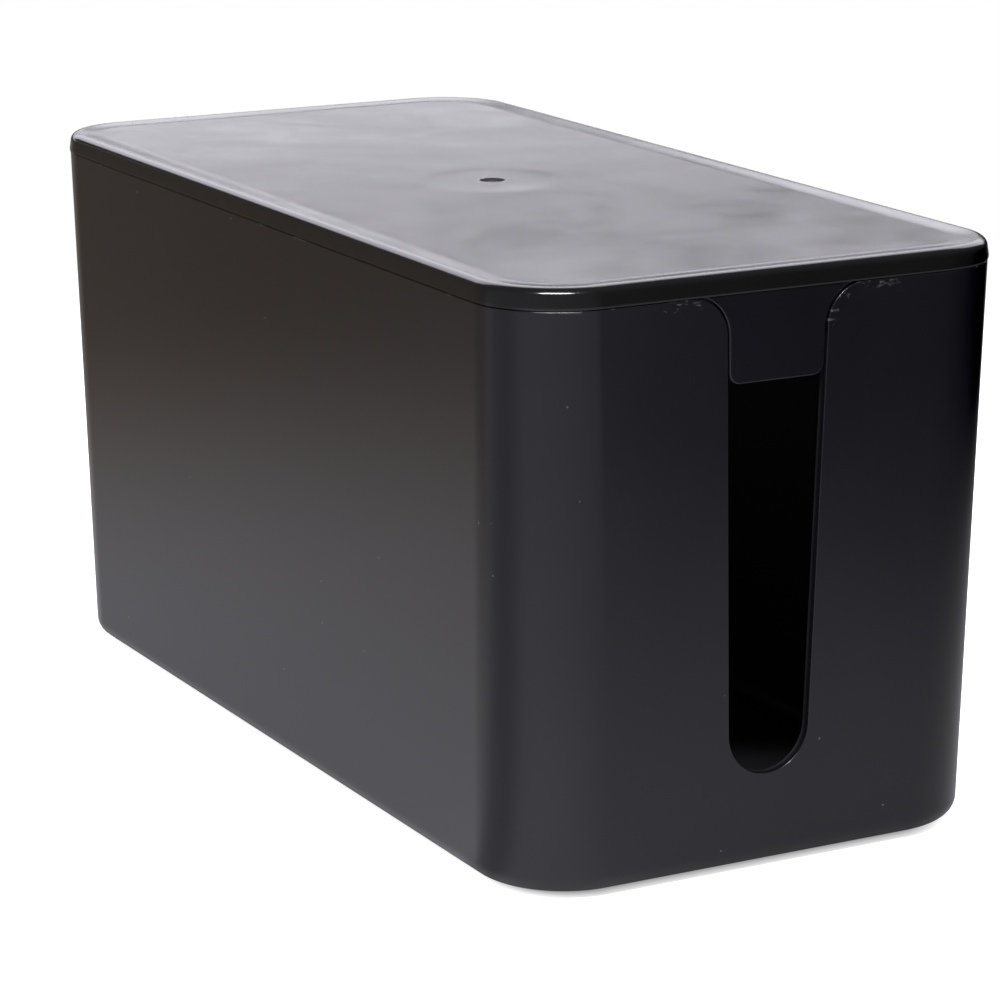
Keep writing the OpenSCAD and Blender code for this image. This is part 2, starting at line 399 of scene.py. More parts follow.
def finish_plastic(graph, place, base, rough, pale, height):
    """The last nodes of a moulded plastic: its colour, its gloss and its surface.

    Pale runs from the base colour at 0 to worn or dusty plastic at 1. Height is in metres."""
    tone = graph.ramp(graph.noise(place, scale=26.0, detail=3.0), 0.3, 0.7, 0.85, 1.15)
    worn = graph.blend(pale, graph.scaled(base, tone), DUSTY)
    grain = graph.noise(place, scale=2600.0) * GRAIN
    bump = graph.node("ShaderNodeBump", None, {"Distance": 1.0, "Height": height + grain})
    surface = graph.node("ShaderNodeBsdfPrincipled", None, {
        "Base Color": worn, "Roughness": rough + pale * PALE_ROUGH, "Normal": bump,
    })
    graph.node("ShaderNodeOutputMaterial", None, {"Surface": surface})


def depth_in_tub(graph, place, shape):
    """How far a point lies inside the tub's outer walls, measured level with the floor."""
    tub = shape.tub
    _, _, z = graph.parts(place)
    below = graph.math("MAXIMUM", tub.rim - z, 0.0)
    growth = (tub.base_corner - tub.rim_corner) / (tub.rim - shape.low)
    narrowing = math.tan(tub.draft) + growth
    core = graph.combine(tub.length / 2 - tub.rim_corner - below * narrowing,
                         tub.width / 2 - tub.rim_corner - below * narrowing,
                         tub.rim)
    return tub.rim_corner + below * growth - graph.vector("LENGTH", graph.beyond(place, core))


def tub_plastic(finish, tub, slot):
    """Black satin plastic, duller inside, with faint pale, rougher streaks along the slots'
    shoulders and burrs where it was trimmed.
    """
    material = bpy.data.materials.new("tub_plastic")
    graph = shader_of(material)
    place = object_place(graph)
    x, y, z = graph.parts(place)

    # Pale, rougher streaks on the end walls, along the edges of the slots' shoulders
    side = graph.math("ABSOLUTE", y) - slot.shoulder[0]
    up = z - slot.shoulder[1]
    from_shoulder = graph.combine(graph.math("MINIMUM", side, 0.0), up, 0.0)
    inside = tub.shoulder - graph.vector("LENGTH", from_shoulder)
    on_ends = (graph.math("ABSOLUTE", x) > tub.length / 2 - 4 * MM) * (up > 0.0)
    near_edge = graph.ramp(inside, 3 * MM, 0.3 * MM) * graph.ramp(side, 10 * MM, 4 * MM)
    stretched = graph.vector("MULTIPLY", place, (1.0, 1.0, 2.2))
    streaks = graph.noise(stretched, scale=420.0, detail=3.0, rough=0.7)
    pale_streaks = graph.ramp(streaks, 0.58, 0.72) * (near_edge * on_ends)

    # Burrs along the rim, and dust
    at_rim = graph.ramp(z, tub.rim - 0.5 * MM, tub.rim - 0.2 * MM)
    burrs = graph.ramp(graph.noise(place, scale=150.0, rough=0.6), 0.60, 0.66) * at_rim
    specks = dust(graph, place, 0.07)
    pale = pale_streaks * STREAK_PALE + burrs * BURR_PALE + specks * SPECK_PALE
    pale = graph.math("MINIMUM", pale, 1.0)

    # Dull on the inside of the walls and the floor
    depth = depth_in_tub(graph, place, WallShape(tub))
    inner = graph.ramp(depth, 0.4 * tub.wall, 0.8 * tub.wall)
    inner = inner * (z > tub.base + 0.5 * tub.floor)
    clouds = graph.noise(place, scale=14.0)
    rough = finish.tub_rough + (clouds - 0.5) * CLOUD_ROUGH
    rough = rough + pale_streaks * STREAK_ROUGH + inner * INNER_ROUGH
    wave = graph.noise(place, scale=16.0, detail=1.0) * TUB_RIPPLE
    finish_plastic(graph, place, tuple(finish.tub), rough, pale, wave)
    return material


def lid_plastic(finish, tub, lid):
    """Black gloss with flow marks and a shallow sink round its dull, frayed gate mark. Above
    the rim it is darker and more neutral than on its tabs: painted shade on the rim's side.
    """
    material = bpy.data.materials.new("lid_plastic")
    graph = shader_of(material)
    place = object_place(graph)
    x, y, z = graph.parts(place)

    radius = (x * x + y * y) ** 0.5
    gate_r = lid.gate / 2
    level = lid.top - lid.border_rise
    top = z > level - 0.1 * MM
    pit = (radius < gate_r + 0.02 * MM) * (z < level - 0.02 * MM) * (z > level - 2 * MM)
    sink = graph.ramp(radius, 17 * MM, 3 * MM, smooth=True) * top
    flecks = graph.ramp(graph.noise(place, scale=900.0), 0.50, 0.58)
    fray = graph.ramp(radius, gate_r + 0.7 * MM, gate_r) * flecks * top
    flow = graph.noise(place, scale=40.0, detail=3.0, rough=0.55, distortion=0.8)
    specks = dust(graph, place, 0.10)

    rough = finish.lid_rough + (flow - 0.5) * FLOW_ROUGH + sink * SINK_ROUGH + pit * PIT_ROUGH
    ripple = graph.noise(place, scale=30.0, detail=1.5) * LID_RIPPLE
    wave = ripple + specks * SPECK - sink * SINK
    pale = specks * SPECK_PALE + pit * PIT_PALE + fray * FRAY_PALE
    pale = graph.math("MINIMUM", pale, 1.0)
    # Above the rim the lid has its own darker, more neutral colour, and the tabs below it have
    # the tub's: painted shade on the rim's side
    base = graph.blend(z < tub.rim, tuple(finish.lid), tuple(finish.tub))
    finish_plastic(graph, place, base, rough, pale, wave)
    return material


def foot_rubber(finish):
    """Dull black rubber with a coarse grain."""
    material = bpy.data.materials.new("foot_rubber")
    graph = shader_of(material)
    place = object_place(graph)
    clouds = graph.noise(place, scale=300.0, detail=3.0)
    rough = finish.rubber_rough + (clouds - 0.5) * FLOW_ROUGH
    specks = dust(graph, place, 0.15, spacing=2 * MM, radius=0.2 * MM)
    pale = specks * RUBBER_SPECK_PALE
    grain = graph.noise(place, scale=900.0) * RUBBER_GRAIN
    finish_plastic(graph, place, tuple(finish.rubber), rough, pale, grain)
    return material


# ---------------------------------------------------------------- outlines

def arc(centre, radius, start, end, steps):
    """Points along an arc of a circle, from one angle in degrees to another."""
    x, y = centre
    angles = [math.radians(start + (end - start) * i / steps) for i in range(steps + 1)]
    return [(x + radius * math.cos(a), y + radius * math.sin(a)) for a in angles]


class EndSlot:
    """Outlines of the slot in an end wall and of the tab in it, as points (y, z) along X."""

    def __init__(self, tub, lid):
        self.tub = tub
        self.lid = lid
        self.end_r = tub.slot_end / 2
        self.end_z = tub.base + tub.slot_low + self.end_r
        rise = tub.rim - self.end_z
        half_mouth = tub.slot_mouth / 2
        reach = math.hypot(rise, half_mouth)
        self.lean = math.acos(self.end_r / reach) - math.atan2(rise, half_mouth)
        shoulder_z = tub.rim - tub.shoulder
        shoulder_y = self.side(shoulder_z) + tub.shoulder / math.cos(self.lean)
        self.shoulder = (shoulder_y, shoulder_z)

    def side(self, z):
        """Distance of the slot's straight side from the middle, at a height."""
        return self.end_r / math.cos(self.lean) + (z - self.end_z) * math.tan(self.lean)

    def outline(self, grow=0.0):
        """From one shoulder round the slot's end to the other, moved out by grow."""
        lean = math.degrees(self.lean)
        y, z = self.shoulder
        radius = self.tub.shoulder - grow
        return (
            arc((-y, z), radius, 90, lean, CORNER_STEPS)
            + arc((0, self.end_z), self.end_r + grow, 180 + lean, 360 - lean, 2 * CORNER_STEPS)
            + arc((y, z), radius, 180 - lean, 90, CORNER_STEPS)
        )

    def tab_outline(self, shrink=0.0):
        """The tab's outline, up to a little above the rim, taken in by shrink."""
        lean = math.degrees(self.lean)
        y, z = self.shoulder
        gap = self.lid.tab_gap
        flare = math.degrees(math.asin(self.tub.shoulder / (self.tub.shoulder + gap)))
        radius = self.tub.shoulder + gap + shrink
        corner_z = self.lid.tab_low + self.lid.tab_corner
        corner_y = self.side(corner_z) - (gap + self.lid.tab_corner) / math.cos(self.lean)
        corner_r = self.lid.tab_corner - shrink
        left = arc((-y, z), radius, flare, lean, CORNER_STEPS)
        right = arc((y, z), radius, 180 - lean, 180 - flare, CORNER_STEPS)
        root_z = self.tub.rim + TAB_ROOT
        return (
            [(left[0][0], root_z)] + left
            + arc((-corner_y, corner_z), corner_r, 180 + lean, 270, EDGE_STEPS)
            + arc((corner_y, corner_z), corner_r, 270, 360 - lean, EDGE_STEPS)
            + right + [(right[-1][0], root_z)]
        )


class WallShape:
    """Rings of points on the tub's leaning walls."""

    def __init__(self, tub):
        self.tub = tub
        self.low = tub.base + tub.base_edge

    def inset(self, z, depth=0.0):
        """How far in from the rim a leaning wall is at a height, and at a depth in it."""
        return (self.tub.rim - z) * math.tan(self.tub.draft) + depth

    def corners(self, z, depth=0.0):
        """The points of the four corners at a height and a depth, round from +X +Y."""
        tub = self.tub
        inset = self.inset(z, depth)
        along = (z - self.low) / (tub.rim - self.low)
        radius = tub.base_corner + (tub.rim_corner - tub.base_corner) * along - depth
        x = tub.length / 2 - inset - radius
        y = tub.width / 2 - inset - radius
        sides = ((1, 1), (-1, 1), (-1, -1), (1, -1))
        return [
            [Vector((px, py, z)) for px, py in
             arc((sx * x, sy * y), radius, 90 * k, 90 * k + 90, CORNER_STEPS)]
            for k, (sx, sy) in enumerate(sides)
        ]

    def slots(self, outline, depth=0.0):
        """A slot's outline laid on the end wall at +X and on the one at -X."""
        points = [
            Vector((self.tub.length / 2 - self.inset(z, depth), y, z)) for y, z in outline
        ]
        return [points, [Vector((-p.x, -p.y, p.z)) for p in points]]


# ---------------------------------------------------------------- mesh building

def add_object(name, data):
    """A new object in the scene, at the origin."""
    made = bpy.data.objects.new(name, data)
    bpy.context.scene.collection.objects.link(made)
    return made


def add_all(mesh, points):
    """New vertices at points."""
    return [mesh.verts.new(p) for p in points]


def bridge(mesh, first, second):
    """Faces between two closed loops of equal length, the second one on top from outside."""
    count = len(first)
    for i in range(count):
        j = (i + 1) % count
        mesh.faces.new((first[i], first[j], second[j], second[i]))


def loop_of(corners, slots=((), ())):
    """One closed loop from four corners, with the slots' points between them."""
    return [*corners[0], *corners[1], *slots[1], *corners[2], *corners[3], *slots[0]]


def close_walls(mesh, low, high, slots, inside):
    """The four walls between a ring of corners and a higher one that dips round the slots."""
    def face(*points):
        mesh.faces.new(points[::-1] if inside else points)

    for low_corner, high_corner in zip(low, high):
        for i in range(CORNER_STEPS):
            face(low_corner[i], low_corner[i + 1], high_corner[i + 1], high_corner[i])
    for before, after in ((0, 1), (2, 3)):
        face(low[before][-1], low[after][0], high[after][0], high[before][-1])
    for before, after, slot in ((3, 0, slots[0]), (1, 2, slots[1])):
        face(low[before][-1], low[after][0], high[after][0], *slot[::-1], high[before][-1])


def pocket(mesh, centre, rings):
    """A round pit from rings of (radius, height), closed by a face. Returns its open rim."""
    loops = [
        add_all(mesh, [Vector((x, y, z)) for x, y in
                       arc(centre, radius, 0, -360, CIRCLE_STEPS)[:-1]])
        for radius, z in rings
    ]
    for first, second in zip(loops, loops[1:]):
        bridge(mesh, first, second)
    mesh.faces.new(loops[-1])
    return loops[0]


def edges_round(loop):
    """The edges of a closed loop of vertices."""
    found = []
    for first, second in zip(loop, loop[1:] + loop[:1]):
        found.append(next(e for e in first.link_edges if e.other_vert(first) is second))
    return found


def fill_flat(mesh, loops, normal):
    """Faces across the flat area between an outer loop and the holes in it."""
    edges = [e for loop in loops for e in edges_round(loop)]
    made = bmesh.ops.triangle_fill(mesh, use_beauty=True, edges=edges, normal=normal)
    faces = [f for f in made["geom"] if isinstance(f, bmesh.types.BMFace)]
    inner = [e for e in dict.fromkeys(e for f in faces for e in f.edges) if e not in edges]
    for face in faces:
        if face.normal.dot(normal) < 0:
            face.normal_flip()
    bmesh.ops.dissolve_limit(mesh, angle_limit=FLAT_ANGLE, edges=inner, verts=[])


def rounding(start, radius, inward=True):
    """(back, depth) pairs along a quarter round on an edge, from a depth on or up to it."""
    pairs = []
    for i in range(SOFT_STEPS + 1):
        angle = math.pi / 2 * (i if inward else SOFT_STEPS - i) / SOFT_STEPS
        back = radius * (1 - math.sin(angle))
        depth = radius * (1 - math.cos(angle))
        pairs.append((back, start + depth if inward else start - depth))
    return pairs


def object_from(mesh, name):
    """An object from a finished bmesh, which is freed."""
    data = bpy.data.meshes.new(name)
    mesh.to_mesh(data)
    mesh.free()
    return add_object(name, data)


def finish_surface(piece):
    """Smooth shading that keeps flat faces flat and sharp edges sharp."""
    piece.data.shade_smooth()
    piece.data.set_sharp_from_angle(angle=SHARP_ANGLE)
    weighted = piece.modifiers.new("Weighted normals", "WEIGHTED_NORMAL")
    weighted.keep_sharp = True
    bake(piece)


def bake(piece):
    """Puts the mesh that the modifiers make in place of the piece's own, and removes them."""
    graph = bpy.context.evaluated_depsgraph_get()
    made = bpy.data.meshes.new_from_object(
        piece.evaluated_get(graph), preserve_all_data_layers=True, depsgraph=graph
    )
    piece.modifiers.clear()
    old = piece.data
    piece.data = made
    made.name = piece.name
    bpy.data.meshes.remove(old)


def remove(*objects):
    """Deletes helper objects with their meshes."""
    for thing in objects:
        data = thing.data
        bpy.data.objects.remove(thing)
        bpy.data.meshes.remove(data)


# ---------------------------------------------------------------- geometry nodes

class Tree(Graph):
    """A geometry tree with named inputs."""

    def __init__(self, name, inputs):
        super().__init__(bpy.data.node_groups.new(name, "GeometryNodeTree"))
        self.ids = {}
        for label, kind in inputs.items():
            socket = self.tree.interface.new_socket(
                label, in_out="INPUT", socket_type="NodeSocket" + kind
            )
            self.ids[label] = socket.identifier
        self.tree.interface.new_socket(
            "Geometry", in_out="OUTPUT", socket_type="NodeSocketGeometry"
        )
        self.source = self.tree.nodes.new("NodeGroupInput")

    def input(self, label):
        """The value of one of the tree's inputs."""
        return Value(self, self.source.outputs[label])

    def output(self, geometry):
        """Ends the tree with a geometry."""
        self.node("NodeGroupOutput", None, {"Geometry": geometry})

    def finish(self, geometry):
        """Ends the tree with plain geometry in the material that is one of its inputs."""
        real = self.node("GeometryNodeRealizeInstances", None, {"Geometry": geometry})
        self.output(self.node("GeometryNodeSetMaterial", None, {
            "Geometry": real, "Material": self.input("Material"),
        }))

    def call(self, other, sockets):
        """Another tree as a node of this one."""
        return self.node("GeometryNodeGroup", {"node_tree": other.tree}, sockets)

    def join(self, *geometries):
        """Several geometries in one."""
        return self.node("GeometryNodeJoinGeometry", None, {"Geometry": list(geometries)})

    def instances(self, points, instance, **sockets):
        """Copies of a piece of geometry at points."""
        return self.node("GeometryNodeInstanceOnPoints", None, {
            "Points": points, "Instance": instance, **sockets,
        })

    def grow(self, name, values):
        """A finished piece that the tree makes from the values of its inputs."""
        piece = add_object(name, bpy.data.meshes.new(name))
        modifier = piece.modifiers.new(self.tree.name, "NODES")
        modifier.node_group = self.tree
        for label, value in values.items():
            modifier[self.ids[label]] = value
        bake(piece)
        finish_surface(piece)
        return piece


def ring_tree():
    """A surface swept round an upright rounded prism.

    Each vertex of the profile gives a ring: X is how far it lies inside the prism's side, Y
    is how much further in it lies at the ends, and Z is its height. Rings that shrink to the
    middle close there."""
    tree = Tree("Ring sweep", {
        "Profile": "Geometry", "Length": "Float", "Width": "Float", "Corner": "Float",
        "Corner Steps": "Int",
    })
    profile = tree.input("Profile")
    steps = tree.input("Corner Steps")
    rows = tree.node("GeometryNodeAttributeDomainSize", None, {"Geometry": profile})
    columns = (steps + 1) * 4
    grid = tree.node("GeometryNodeMeshGrid", None, {
        "Vertices X": columns + 1, "Vertices Y": rows,
    })
    index = tree.node("GeometryNodeInputIndex")
    column = tree.math("FLOOR", index / rows) % columns
    place = tree.node("GeometryNodeInputPosition")
    point = tree.node("GeometryNodeSampleIndex", {"data_type": "FLOAT_VECTOR"}, {
        "Geometry": profile, "Value": place, "Index": index % rows,
    })
    inset, more_at_ends, height = tree.parts(point)
    quarter = tree.math("FLOOR", column / (steps + 1))
    angle = (quarter + (column % (steps + 1)) / steps) * (math.pi / 2)
    side_x = tree.math("ABSOLUTE", quarter - 1.5) * 2 - 2
    side_y = (quarter < 1.5) * 2 - 1
    corner = tree.input("Corner")
    toward_end = 1.0 - tree.math("ABSOLUTE", tree.math("SINE", angle)) ** BOW_POWER
    radius = corner - inset - more_at_ends * toward_end
    x = side_x * (tree.input("Length") / 2 - corner) + radius * tree.math("COSINE", angle)
    y = side_y * (tree.input("Width") / 2 - corner) + radius * tree.math("SINE", angle)
    moved = tree.node("GeometryNodeSetPosition", None, {
        "Geometry": grid, "Position": tree.combine(x, y, height),
    })
    tree.output(tree.node("GeometryNodeMergeByDistance", None, {
        "Geometry": moved, "Distance": WELD,
    }))
    return tree


def profile_object(name, points):
    """A polyline for a ring sweep, of (inset, height) or (inset, more at the ends, height)."""
    data = bpy.data.meshes.new(name)
    edges = [(i, i + 1) for i in range(len(points) - 1)]
    data.from_pydata([(p[0], p[1] if len(p) > 2 else 0.0, p[-1]) for p in points], edges, [])
    return add_object(name, data)


def object_mesh(tree, label):
    """The mesh of an object that is one of a tree's inputs."""
    return tree.node("GeometryNodeObjectInfo", None, {"Object": tree.input(label)},
                     output="Geometry")


# ---------------------------------------------------------------- tub

def make_tub(tub, lid, feet):
    """The tub as one closed mesh: outside, rim and slot edges, inside, seats and gate mark."""
    mesh = bmesh.new()
    shape = WallShape(tub)
    slot = EndSlot(tub, lid)

    def fillet(z, depth, radius):
        """A quarter round from a flat at z up to the walls, as its first and last ring."""
        loops = []
        for i in range(EDGE_STEPS + 1):
            angle = math.pi / 2 * i / EDGE_STEPS
            corners = shape.corners(z + radius, depth + radius * (1 - math.sin(angle)))
            drop = radius * math.cos(angle)
            loops.append([add_all(mesh, [p - Vector((0, 0, drop)) for p in corner])
                          for corner in corners])
        for first, second in zip(loops, loops[1:]):
            if depth:
                bridge(mesh, loop_of(second), loop_of(first))
            else:
                bridge(mesh, loop_of(first), loop_of(second))
        return loops[0], loops[-1]

    # The rim, with the slots' edges, which are rounded half as much
    rims = []
    outer = rounding(0.0, tub.soft_edge)
    inner = rounding(tub.wall, tub.soft_edge, inward=False)
    for back, depth in outer + inner:
        corners = [add_all(mesh, c) for c in shape.corners(tub.rim - back, depth)]
        slots = [add_all(mesh, s) for s in shape.slots(slot.outline(back / 2), depth)]
        rims.append((corners, slots))
    for first, second in zip(rims, rims[1:]):
        bridge(mesh, loop_of(*first), loop_of(*second))

    under, wall_foot = fillet(tub.base, 0.0, tub.base_edge)
    close_walls(mesh, wall_foot, rims[0][0], rims[0][1], inside=False)
    inner_floor, inner_foot = fillet(tub.base + tub.floor, tub.wall,
                                     tub.base_edge - tub.wall / 2)
    close_walls(mesh, inner_foot, rims[-1][0], rims[-1][1], inside=True)
    mesh.faces.new(loop_of(inner_floor))

    seat_z = feet.thickness
    seat_r = feet.diameter / 2 + feet.gap
    seat = [(seat_r, tub.base), (seat_r, seat_z)]
    holes = [
        pocket(mesh, (sx * feet.along, sy * feet.across), seat)
        for sx in (-1, 1) for sy in (-1, 1)
    ]
    pit = tub.base + lid.gate_depth
    holes.append(pocket(mesh, (0, 0), [
        (tub.gate / 2, tub.base), (tub.gate / 2, pit), (lid.stub / 2, pit),
        (lid.stub / 2, pit - lid.stub_height),
    ]))
    fill_flat(mesh, [loop_of(under), *holes], Vector((0, 0, -1)))
    piece = object_from(mesh, "tub_shell")
    finish_surface(piece)
    return piece


# ---------------------------------------------------------------- lid

def soft_slope(along):
    """Rises from 0 to 1, steepest before the middle, and level at both ends."""
    early = along ** SLOPE_POWER
    return early * early * (3 - 2 * early)


def lid_profile(tub, lid):
    """From the ceiling round the lip, underside, edge and border to the panel."""
    overhang = (lid.length - tub.length) / 2
    edge = tub.soft_edge
    back = overhang + tub.wall + lid.lip_gap + lid.lip
    front = back - lid.lip
    tip = tub.rim - lid.lip_height
    ceiling = lid.top - lid.border_rise - lid.panel
    crest = lid.edge_lean + lid.edge_round
    round_z = lid.top - lid.edge_round
    lean = math.degrees(math.atan2(lid.edge_lean, round_z - tub.rim - edge))
    points = [(back + edge, ceiling)]
    points += arc((back + edge, ceiling - edge), edge, 90, 180, SOFT_STEPS)[1:]
    points += arc((back - edge, tip + edge), edge, 0, -90, SOFT_STEPS)
    points += arc((front + 2 * edge, tip + 2 * edge), 2 * edge, 270, 180, SOFT_STEPS)
    underside = tub.rim + lid.seam
    points += [(front, underside)]
    bow_z = underside + lid.bow * math.sin(math.radians(BOW_TURN))
    bow = arc((lid.bow, bow_z), lid.bow, 180 + BOW_TURN, 180, SOFT_STEPS)
    points += [(0.0, inset, height) for inset, height in bow]
    stretch = (lid.edge_round + lid.crown) / lid.edge_round
    points += [
        (crest + (inset - crest) * stretch + lid.crown, height) for inset, height in
        arc((crest, round_z), lid.edge_round, 180 - lean, 90, 2 * EDGE_STEPS)
    ]
    slope = lid.border_slope - lid.crown
    for i in range(1, 2 * EDGE_STEPS + 1):
        along = i / (2 * EDGE_STEPS)
        points.append((crest + lid.crown + slope * along,
                       lid.top - lid.border_rise * soft_slope(along)))
    return points


def gate_profile(lid, level):
    """From the edge of the gate mark down its wall, over its floor and stub to the middle."""
    floor = level - lid.gate_depth
    stub = (lid.gate - lid.stub) / 2
    return [
        (0.0, level), (0.0, floor), (stub, floor), (stub, floor + lid.stub_height),
        (lid.gate / 2, floor + lid.stub_height),
    ]


def prism(name, sections):
    """A closed solid through sections of equal numbers of points."""
    mesh = bmesh.new()
    loops = [add_all(mesh, section) for section in sections]
    for first, second in zip(loops, loops[1:]):
        bridge(mesh, first, second)
    mesh.faces.new(loops[0][::-1])
    mesh.faces.new(loops[-1])
    bmesh.ops.recalc_face_normals(mesh, faces=mesh.faces)
    return object_from(mesh, name)


def make_tab(tub, lid):
    """The tab at +X: a plate as thick as the wall, with its front edges rounded."""
    shape = WallShape(tub)
    slot = EndSlot(tub, lid)
    front = rounding(lid.tab_setback, lid.tab_edge)
    sections = [
        shape.slots(slot.tab_outline(back), depth)[0]
        for back, depth in [(0.0, tub.wall), *front[::-1]]
    ]
    return prism("tab", sections)


def make_root(tub, lid):
    """The block that joins a tab to the lip behind it."""
    shape = WallShape(tub)
    slot = EndSlot(tub, lid)
    tip = tub.rim - lid.lip_height
    gap = tub.wall + lid.lip_gap
    outline = [p for p in slot.tab_outline(tub.soft_edge) if p[1] > tip]
    half = len(outline) // 2
    outline = [*outline[:half], (outline[half - 1][0], tip), (outline[half][0], tip),
               *outline[half:]]
    sections = [shape.slots(outline, depth)[0]
                for depth in (gap + lid.lip / 2, tub.wall - tub.soft_edge)]
    return prism("tab_root", sections)


def make_rib(tub, lid):
    """The rib in the corner between the back of a tab and the ceiling."""
    shape = WallShape(tub)
    low = lid.tab_low + lid.tab_corner
    tip = tub.rim - lid.lip_height
    ceiling = lid.top - lid.border_rise - lid.panel + TAB_ROOT
    back = tub.length / 2 - tub.wall
    foot = back - shape.inset(low)
    outline = [
        (foot + TAB_ROOT, low), (back + TAB_ROOT, tub.rim), (back + TAB_ROOT, ceiling),
        (back - lid.rib_reach, ceiling), (back - lid.rib_reach, tip),
    ]
    sections = [[Vector((x, y, z)) for x, z in outline] for y in (-lid.rib / 2, lid.rib / 2)]
    return prism("tab_rib", sections)


def lid_tree():
    """The lid: a ring sweep closed by its panel and ceiling, with a gate mark and two tabs."""
    tree = Tree("Lid", {
        "Plate": "Object", "Gate": "Object", "Tab": "Object", "Root": "Object",
        "Rib": "Object", "Length": "Float", "Width": "Float", "Corner": "Float",
        "Corner Steps": "Int", "Gate Diameter": "Float", "Gate Steps": "Int",
        "Panel Height": "Float", "Ceiling Height": "Float", "Rib Spacing": "Float",
        "Material": "Material",
    })
    rings = ring_tree()
    plate = tree.call(rings, {
        "Profile": object_mesh(tree, "Plate"), "Length": tree.input("Length"),
        "Width": tree.input("Width"), "Corner": tree.input("Corner"),
        "Corner Steps": tree.input("Corner Steps"),
    })
    gate_size = tree.input("Gate Diameter")
    pit = tree.call(rings, {
        "Profile": object_mesh(tree, "Gate"), "Length": gate_size, "Width": gate_size,
        "Corner": gate_size / 2, "Corner Steps": tree.input("Gate Steps"),
    })
    shell = tree.join(plate, pit)
    sides = tree.node("GeometryNodeInputMeshEdgeNeighbors")
    height = tree.parts(tree.node("GeometryNodeInputPosition"))[2]

    def cap(level):
        """A flat face that fills the shell's open edges at a height, and faces up."""
        near = tree.math("COMPARE", height, level, CAP_REACH)
        open_edge = (sides < 1.5) * near
        rim = tree.node("GeometryNodeMeshToCurve", None, {
            "Mesh": shell, "Selection": open_edge,
        })
        flat = tree.node("GeometryNodeFillCurve", {"mode": "NGONS"}, {"Curve": rim})
        return tree.node("GeometryNodeTransform", None, {
            "Geometry": flat, "Translation": tree.combine(0.0, 0.0, level),
        })

    panel = cap(tree.input("Panel Height"))
    ceiling = tree.node("GeometryNodeFlipFaces", None, {
        "Mesh": cap(tree.input("Ceiling Height")),
    })
    closed = tree.node("GeometryNodeMergeByDistance", None, {
        "Geometry": tree.join(shell, panel, ceiling), "Distance": LID_WELD,
    })
    spacing = tree.input("Rib Spacing")
    places = tree.node("GeometryNodeMeshLine", {"mode": "END_POINTS"}, {
        "Count": 2, "Start Location": tree.combine(0.0, spacing * -0.5, 0.0),
        "Offset": tree.combine(0.0, spacing * 0.5, 0.0),
    })
    ribs = tree.instances(places, object_mesh(tree, "Rib"))
    braced = tree.join(object_mesh(tree, "Tab"), object_mesh(tree, "Root"), ribs)
    both = tree.node("GeometryNodeMeshLine", None, {"Count": 2, "Offset": (0.0, 0.0, 0.0)})
    half_turns = tree.node("GeometryNodeInputIndex") * math.pi
    ends = tree.instances(both, braced, Rotation=tree.combine(0.0, 0.0, half_turns))
    tabs = tree.node("GeometryNodeRealizeInstances", None, {"Geometry": ends})
    whole = tree.node("GeometryNodeMeshBoolean", {"operation": "UNION", "solver": "EXACT"}, {
        "Mesh 2": [closed, tabs], "Self Intersection": True,
    })
    tree.finish(whole)
    return tree


def make_lid(tub, lid, material):
    """The lid as one closed mesh, made by its geometry tree."""
    level = lid.top - lid.border_rise
    overhang = (lid.length - tub.length) / 2
    parts = {
        "Plate": profile_object("lid_plate", lid_profile(tub, lid)),
        "Gate": profile_object("lid_gate", gate_profile(lid, level)),
        "Tab": make_tab(tub, lid),
        "Root": make_root(tub, lid),
        "Rib": make_rib(tub, lid),
    }
    piece = lid_tree().grow("lid_cover", {
        **parts, "Length": lid.length, "Width": lid.width,
        "Corner": tub.rim_corner + overhang, "Corner Steps": CORNER_STEPS,
        "Gate Diameter": lid.gate, "Gate Steps": CIRCLE_STEPS // 4,
        "Panel Height": level, "Ceiling Height": level - lid.panel,
        "Rib Spacing": lid.rib_spacing, "Material": material,
    })
    remove(*parts.values())
    return piece


# ---------------------------------------------------------------- feet

def foot_profile(feet):
    """From the middle of a foot's underside out round its edge, up and back to the middle."""
    edge = feet.edge
    points = [(feet.diameter / 2, 0.0)]
    points += arc((edge, edge), edge, 270, 180, EDGE_STEPS)
    points += [(0.0, feet.thickness), (feet.diameter / 2, feet.thickness)]
    return points


def feet_tree():
    """Four round feet, swept from one profile and set at the corners of a rectangle."""
    tree = Tree("Feet", {
        "Profile": "Object", "Diameter": "Float", "Steps": "Int", "Along": "Float",
        "Across": "Float", "Material": "Material",
    })
    diameter = tree.input("Diameter")
    foot = tree.call(ring_tree(), {
        "Profile": object_mesh(tree, "Profile"), "Length": diameter, "Width": diameter,
        "Corner": diameter / 2, "Corner Steps": tree.input("Steps"),
    })
    corners = tree.node("GeometryNodeMeshGrid", None, {
        "Size X": tree.input("Along") * 2, "Size Y": tree.input("Across") * 2,
        "Vertices X": 2, "Vertices Y": 2,
    })
    tree.finish(tree.instances(corners, foot))
    return tree


def make_feet(feet, material):
    """The four feet as one mesh, made by their geometry tree."""
    profile = profile_object("foot_profile", foot_profile(feet))
    piece = feet_tree().grow("feet", {
        "Profile": profile, "Diameter": feet.diameter, "Steps": CIRCLE_STEPS // 4,
        "Along": feet.along, "Across": feet.across, "Material": material,
    })
    remove(profile)
    return piece


# ---------------------------------------------------------------- studio

LAMP_AIM = Vector((0.0, 0.0, 0.08))     # the lamps face this point
COOL = (1.0, 0.98, 1.06)     # tint of the lamps and of most of the studio
WARM = (1.20, 0.98, 0.80)    # tint of the floor and the room far to the left
WHITE = (1.0, 1.0, 1.0)
